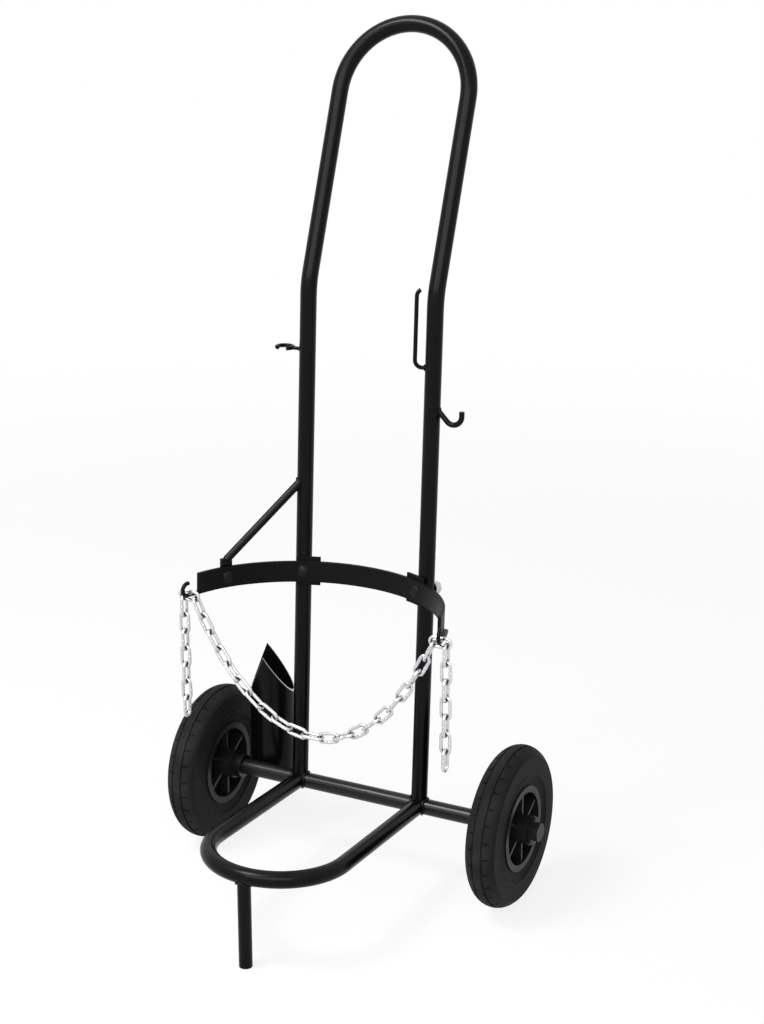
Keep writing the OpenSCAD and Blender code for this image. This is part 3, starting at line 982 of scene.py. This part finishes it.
@dataclass
class RodFittings(SubAssembly):
    """Lance hook on the left upright, hose loop and hose hook on the right one.

    Attributes:
        loop_turn: How far the hose loop's rod points to the left of forwards, in radians.
        hose_angle: How far the hose hook's rod points down, in radians.
    """

    lance_z: float = 554.0
    lance_r: float = 2.25
    loop_z: float = 551.0
    loop_r: float = 2.5
    loop_turn: float = math.radians(60.0)
    hose_z: float = 509.0
    hose_r: float = 3.25
    hose_angle: float = math.radians(45.0)
    bead: float = 1.1

    def pieces(self) -> list[bpy.types.Object]:
        """Builds the seams of the three rods.

        Returns:
            The beads.
        """
        tube = STANCE.along(0, 0, 1)
        lance = STANCE.along(-1, 0, 0)
        loop = STANCE.along(-math.sin(self.loop_turn), -math.cos(self.loop_turn), 0)
        hose = STANCE.along(math.cos(self.hose_angle), 0, -math.sin(self.hose_angle))
        rods = [
            ("lance_hook_seam", Side.LEFT, self.lance_z, lance, self.lance_r),
            ("hose_loop_seam", Side.RIGHT, self.loop_z, loop, self.loop_r),
            ("hose_hook_seam", Side.RIGHT, self.hose_z, hose, self.hose_r),
        ]
        made = []
        for name, side, height, away, radius in rods:
            foot = STANCE.at(side.value * STANCE.half, 0.0, height)
            joint = Joint(foot, away, tube, radius, STANCE.tube_r)
            made.append(self.welder.round(name, joint, self.bead))
        return made


@dataclass
class LancePocket(SubAssembly):
    """Upright tube with a slanted mouth, welded to the back of the axle.

    Attributes:
        span: Half the length of a seam.
        rise: How far the seams lie above and below the axle's middle.
        weld_steps: Points of a seam.
    """

    x: float = -145.0
    radius: float = 29.0
    axle_r: float = 10.05
    span: float = 11.0
    rise: float = 5.2
    weld_steps: int = 21
    bead: float = 1.5

    def pieces(self) -> list[bpy.types.Object]:
        """Builds the seams above and below the axle.

        Returns:
            The two beads.
        """
        made = []
        for name, rise in (("pocket_seam_upper", self.rise), ("pocket_seam_lower", -self.rise)):
            made.append(self.welder.along(name, self._seam(rise), self.bead))
        return made

    def _seam(self, rise: float) -> list[Vector]:
        """Points of a seam between pocket and axle.

        Args:
            rise: Height over the axle's middle in millimetres.

        Returns:
            The points in metres.
        """
        points = []
        for step in range(self.weld_steps):
            x = self.span * (2.0 * step / (self.weld_steps - 1) - 1.0)
            pocket_y = self.axle_r + self.radius - math.sqrt(self.radius ** 2 - x ** 2)
            axle_y = math.sqrt(self.axle_r ** 2 - rise ** 2)
            y = STANCE.axle_y + (pocket_y + axle_y) / 2.0
            points.append(Vector((self.x + x, y, STANCE.axle_z + rise)) * MM)
        return points


@dataclass
class AxleFittings(SubAssembly):
    """Stop collars, hub washers and push-on caps on the axle."""


@dataclass
class Wheel(SubAssembly):
    """Tyre, rim and bush of one side, with the fine rings that the mould leaves on the flanks.

    Attributes:
        side: Side of the trolley.
        track: Distance of the tyre's middle from the trolley's.
        flank_foot: Radius at the foot of a flank, and its distance from the tyre's middle.
        flank_head: The same at the head of the flank.
        ring_radii: Radii of the rings about the axle.
        ring_bead: Radius of a ring's section.
        ring_flat: How flat it is pressed.
        ring_sunk: How far its middle lies in the flank.
        ring_steps: Sections of a ring.
        ring_sides: Points of a section.
    """

    side: Side = Side.LEFT
    track: float = 207.0
    flank_foot: Pair = (53.0, 16.0)
    flank_head: Pair = (78.0, 19.0)
    ring_radii: tuple[float, ...] = (57.0, 60.5, 64.0, 72.5, 76.0)
    ring_bead: float = 0.85
    ring_flat: float = 0.7
    ring_sunk: float = 0.15
    ring_steps: int = 120
    ring_sides: int = 10

    def pieces(self) -> list[bpy.types.Object]:
        """Models the rings on both flanks of the tyre."""
        rings = [self._ring(radius, flank) for radius in self.ring_radii for flank in Side]
        return [joined(f"{self.side.name.lower()}_tyre_rings", rings)]

    def _ring(self, radius: float, flank: Side) -> bpy.types.Object:
        """Models one ring.

        Args:
            radius: Radius about the axle in millimetres.
            flank: Which flank of the tyre it lies on.

        Returns:
            The ring.
        """
        (foot_r, foot), (head_r, head) = self.flank_foot, self.flank_head
        out = foot + (radius - foot_r) / (head_r - foot_r) * (head - foot) - self.ring_sunk
        x = self.side.value * self.track + flank.value * out
        middle = Vector((x, STANCE.axle_y, STANCE.axle_z)) * MM
        deselect()
        bpy.ops.mesh.primitive_torus_add(
            location=middle, rotation=(0.0, math.pi / 2, 0.0), major_segments=self.ring_steps,
            minor_segments=self.ring_sides, major_radius=radius * MM,
            minor_radius=self.ring_bead * MM)
        ring = named("ring")
        bpy.ops.object.mode_set(mode="EDIT")
        bpy.ops.mesh.select_all(action="SELECT")
        bpy.ops.transform.resize(value=(self.ring_flat, 1.0, 1.0), center_override=middle)
        bpy.ops.object.mode_set(mode="OBJECT")
        return ring


@dataclass
class Chain(SubAssembly):
    """Links of one chain body, each with the bulge of its butt weld on one side.

    Attributes:
        half_width: Distance of a link's straight side from its middle.
        bulge: Half sizes of the bulge, the last one along the link.
        flash: Size of the ridge round the bulge's middle against the bulge.
        flash_reach: Half the ridge's width.
        weld_side: Direction that tells which of a link's two sides has the weld.
        steps: Sections round the bulge.
        rings: Sections along it.
        merge: Distance in metres at which a link's points are merged.
    """

    half_width: float = 5.5
    bulge: Triple = (2.3, 2.3, 2.8)
    flash: float = 1.08
    flash_reach: float = 0.1
    weld_side: Triple = (0.3, -0.5, -0.81)
    steps: int = 18
    rings: int = 12
    merge: float = 0.000001

    def pieces(self) -> list[bpy.types.Object]:
        """Models one bulge, and sets a copy on every link of the body.

        Returns:
            The bulges as one piece.
        """
        model = self._bulge()
        links = [link for node in self.finishes for link in self._links(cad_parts[node])]
        bulges = [self._copy(model, link) for link in links]
        bpy.data.objects.remove(model)
        return [joined(f"{self.body.value}_link_welds", bulges)]

    def _bulge(self) -> bpy.types.Object:
        """Models the bulge at the origin, long in Z, with the ridge of flash round its middle.

        Returns:
            The bulge.
        """
        deselect()
        bpy.ops.mesh.primitive_uv_sphere_add(
            segments=self.steps, ring_count=self.rings, radius=1.0,
            scale=[size * MM for size in self.bulge])
        bulge = named("bulge")
        bpy.ops.object.mode_set(mode="EDIT")
        reach = self.flash_reach * MM
        select_points(bulge, [abs(point.co.z) < reach for point in bulge.data.vertices])
        bpy.ops.transform.resize(
            value=(self.flash, self.flash, 1.0), center_override=(0.0, 0.0, 0.0))
        bpy.ops.object.mode_set(mode="OBJECT")
        return bulge

    def _copy(self, model: bpy.types.Object, link: np.ndarray) -> bpy.types.Object:
        """Copies the bulge onto a link.

        Args:
            model: The bulge at the origin, long in Z.
            link: The link's points, one in a row.

        Returns:
            The copy, with its own mesh.
        """
        middle = (link.max(axis=0) + link.min(axis=0)) / 2.0
        axes = np.linalg.eigh(np.cov((link - middle).T))[1]
        along, across = Vector(axes[:, 2]), Vector(axes[:, 1])
        along, across = self._facing(along), self._facing(across)
        bulge = model.copy()
        bulge.data = model.data.copy()
        bpy.context.scene.collection.objects.link(bulge)
        turn = Matrix((across, along.cross(across), along)).transposed().to_4x4()
        place = Vector(middle) + across * self.half_width * MM
        bulge.matrix_world = Matrix.Translation(place) @ turn
        return bulge

    def _facing(self, axis: Vector) -> Vector:
        """The axis or its opposite, whichever points to the welds' side."""
        return axis if axis.dot(Vector(self.weld_side)) > 0.0 else -axis

    def _links(self, solid: bpy.types.Object) -> list[np.ndarray]:
        """Points of each link of a node.

        Args:
            solid: The node's object.

        Returns:
            An array of points for each link, in the order of their first points.
        """
        mesh = bmesh.new()
        mesh.from_mesh(solid.data)
        mesh.transform(solid.matrix_world)
        bmesh.ops.remove_doubles(mesh, verts=mesh.verts, dist=self.merge)
        mesh.verts.index_update()
        links, seen = [], set()
        for start in mesh.verts:
            if start in seen:
                continue
            seen.add(start)
            link = [start]
            for vertex in link:
                fresh = {edge.other_vert(vertex) for edge in vertex.link_edges} - seen
                seen |= fresh
                link.extend(sorted(fresh, key=lambda other: other.index))
            links.append(np.array([vertex.co[:] for vertex in link]))
        mesh.free()
        return links


def aimed(name: str, data: bpy.types.ID, place: Triple, aim: Triple) -> bpy.types.Object:
    """Sets a camera or lamp at its place, facing a point.

    Args:
        name: Name of the object.
        data: The camera's or lamp's own data.
        place: Its place in metres.
        aim: The point that it faces.

    Returns:
        The object.
    """
    made = bpy.data.objects.new(name, data)
    bpy.context.scene.collection.objects.link(made)
    made.location = place
    made.rotation_mode = "QUATERNION"
    made.rotation_quaternion = (Vector(aim) - Vector(place)).to_track_quat("-Z", "Y")
    return made


@dataclass(frozen=True)
class Lamp:
    """A soft box.

    Attributes:
        name: Name of the lamp.
        place: Its middle in metres.
        aim: Point that it faces.
        size: Width and height in metres.
        watts: Power.
    """

    name: str
    place: Triple
    aim: Triple
    size: Pair
    watts: float

    def build(self) -> None:
        """Adds the lamp."""
        data = bpy.data.lights.new(self.name, "AREA")
        data.shape, data.energy = "RECTANGLE", self.watts
        data.size, data.size_y = self.size
        aimed(self.name, data, self.place, self.aim)


@dataclass
class Studio:
    """Pale floor, soft lamps, world and camera.

    Attributes:
        eye: The camera's place in metres.
        target: Point that it faces.
        lens: Its focal length in millimetres.
        sensor: Its sensor's larger side in millimetres.
        sight: How far it sees, in metres.
        floor_size: Side of the floor in metres.
        floor_colour: The floor's own colour.
        floor_glow: How far the floor near the trolley shows plain white.
        floor_fade: Distances between which it goes over to plain white.
        world_light: Strength of the light that the world gives to surfaces.
        lamps: The soft boxes.
    """

    eye: Triple = (1.1219, -2.0689, 1.2660)
    target: Triple = (0.0259, 0.0802, 0.4694)
    lens: float = 74.454
    sensor: float = 36.0
    sight: float = 200.0
    floor_size: float = 60.0
    floor_colour: Colour = (0.92, 0.92, 0.92)
    floor_glow: float = 0.84
    floor_fade: Pair = (1.1, 2.8)
    world_light: float = 0.28
    lamps: tuple[Lamp, ...] = (
        Lamp("key", (0.6, -3.1, 2.6), (0.0, 0.0, 0.75), (4.6, 1.6), 94.0),
        Lamp("top", (-1.1, -1.3, 3.0), (0.0, 0.0, 0.5), (1.1, 1.1), 82.0),
    )

    def camera(self) -> None:
        """Makes the camera at the photograph's viewing angle."""
        data = bpy.data.cameras.new("camera")
        data.lens, data.sensor_width, data.sensor_fit = self.lens, self.sensor, "AUTO"
        data.clip_end = self.sight
        bpy.context.scene.camera = aimed("camera", data, self.eye, self.target)

    @staticmethod
    def seen(graph: Graph) -> Field:
        """Tells what is looked at from what gives light.

        Args:
            graph: Graph of the floor or the world.

        Returns:
            1 for rays from the camera and in reflections, 0 for light that falls on surfaces.
        """
        kinds = ("Is Camera Ray", "Is Glossy Ray", "Is Transmission Ray")
        rays = [graph.node("ShaderNodeLightPath", {}, {}, kind) for kind in kinds]
        return reduce(Field.larger, rays)

    def world(self) -> None:
        """Makes a white world that lights softly."""
        world = bpy.data.worlds.new("studio")
        world.use_nodes = True
        graph = Graph(world.node_tree)
        strength = self.seen(graph) * (1.0 - self.world_light) + self.world_light
        sockets = {"Color": (1, 1, 1, 1), "Strength": strength}
        light = graph.node("ShaderNodeBackground", {}, sockets)
        graph.node("ShaderNodeOutputWorld", {}, {"Surface": light})
        bpy.context.scene.world = world

    def floor(self) -> None:
        """Makes the floor, which keeps the trolley's shadow."""
        deselect()
        bpy.ops.mesh.primitive_plane_add(size=self.floor_size, location=(0, 0, 0))
        floor = bpy.context.active_object
        floor.name = "floor"
        material = bpy.data.materials.new("floor_finish")
        material.use_nodes = True
        graph = Graph(material.node_tree)
        matte = graph.node("ShaderNodeBsdfDiffuse", {}, {"Color": (*self.floor_colour, 1.0)})
        glow = graph.node("ShaderNodeEmission", {}, {"Color": (1, 1, 1, 1), "Strength": 1.0})
        far = graph.away(graph.place(), (0.0, 0.0, 0.0)).step(*self.floor_fade)
        share = self.seen(graph) * (far * (1.0 - self.floor_glow) + self.floor_glow)
        shown = graph.node("ShaderNodeMixShader", {}, {0: share, 1: matte, 2: glow})
        graph.node("ShaderNodeOutputMaterial", {}, {"Surface": shown})
        floor.data.materials.append(material)

    def build(self) -> None:
        """Builds the studio."""
        self.camera()
        self.world()
        self.floor()
        for lamp in self.lamps:
            lamp.build()
        bpy.context.scene.view_settings.view_transform = "Standard"


HOOK_SADDLE: Triple = (0.16705, -0.050853, 0.376737)
SADDLE_RUB = 0.007


def saddle_rubs() -> tuple[Rub, ...]:
    """The two places where the chain's end links lie on their hooks."""
    x, y, z = HOOK_SADDLE
    return tuple(Rub((side.value * x, y, z), SADDLE_RUB) for side in Side)


GLOSS = Paint(
    name="gloss_black_paint", colour=(0.0024, 0.0024, 0.0028), roughness=0.24, rubs=saddle_rubs())
POCKET = replace(GLOSS, part="_pocket", rubs=(), worn_mouth=0.85, bare=(0.46, 0.46, 0.47))
SATIN = Paint(
    name="satin_black_paint", colour=(0.0048, 0.0048, 0.0052), roughness=0.42, specular=0.065,
    peel_depth=0.00004)
AXLE = Paint(
    name="axle_steel", colour=(0.0055, 0.0055, 0.0060), roughness=0.27, specular=0.24,
    peel=Grain(300.0))
BOLT = Paint(
    name="black_bolt", colour=(0.0070, 0.0070, 0.0075), roughness=0.34, peel=Grain(900.0))
FASTENER = Zinc(name="zinc_fastener", colour=(0.56, 0.57, 0.59), roughness=0.30)
CAP = Plastic(name="black_cap", colour=(0.0110, 0.0110, 0.0115), roughness=0.36)
RUBBER = Rubber(name="tyre_rubber", axis=(STANCE.axle_y * MM, STANCE.axle_z * MM))
RIM = Plastic(name="rim_plastic", colour=(0.0090, 0.0090, 0.0096), roughness=0.38)
NYLON = Plastic(name="bush_nylon", colour=(0.62, 0.61, 0.56), roughness=0.45)
CHAIN = Zinc(name="chain_zinc")


def wheel(side: Side) -> Wheel:
    """The wheel of one side.

    Args:
        side: Side of the trolley.

    Returns:
        The wheel.
    """
    label = side.name.lower()
    finishes = {f"{label}_tyre": RUBBER, f"{label}_rim": RIM, f"{label}_bush": NYLON}
    return Wheel(finishes, RUBBER, Body(f"{label}_wheel"), side=side)


def sub_assemblies() -> list[SubAssembly]:
    """Lists the trolley's groups of nodes with their finishes.

    Returns:
        The groups in building order.
    """
    tubes = {"handle_tube": GLOSS, "toe_loop": GLOSS, "front_leg": GLOSS, "axle": AXLE}
    rest = {
        "cylinder_rest": SATIN, "rest_lugs": SATIN, "rest_bolts": BOLT, "brace_bolt": BOLT,
        "rest_washers": FASTENER, "rest_nuts": FASTENER, "brace_nut": FASTENER, "brace": GLOSS,
        "left_chain_hook": GLOSS, "right_chain_hook": GLOSS,
    }
    rods = {"lance_hook": GLOSS, "hose_loop": GLOSS, "hose_hook": GLOSS}
    span = {"left_hook_link": CHAIN, "chain_span": CHAIN, "right_hook_link": CHAIN}
    return [
        WeldedFrame(tubes, GLOSS),
        CylinderRest(rest, GLOSS),
        RodFittings(rods, GLOSS, welder=Welder(steps=36)),
        LancePocket({"lance_pocket": POCKET, "pocket_floor": GLOSS}, GLOSS),
        AxleFittings({"stop_collars": AXLE, "hub_washers": BOLT, "axle_caps": CAP}),
        wheel(Side.LEFT),
        wheel(Side.RIGHT),
        Chain(span, CHAIN, Body.CHAIN),
        Chain({"left_chain_tail": CHAIN}, CHAIN, Body.LEFT_TAIL),
        Chain({"right_chain_tail": CHAIN}, CHAIN, Body.RIGHT_TAIL),
    ]


def main() -> None:
    """Builds the studio and the trolley's groups."""
    logging.basicConfig(level=logging.INFO, format="%(name)s: %(message)s")
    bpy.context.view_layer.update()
    Studio().build()
    for group in sub_assemblies():
        group.build()
        group.dress()
    deselect()
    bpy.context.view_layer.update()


if __name__ == "__main__":
    main()
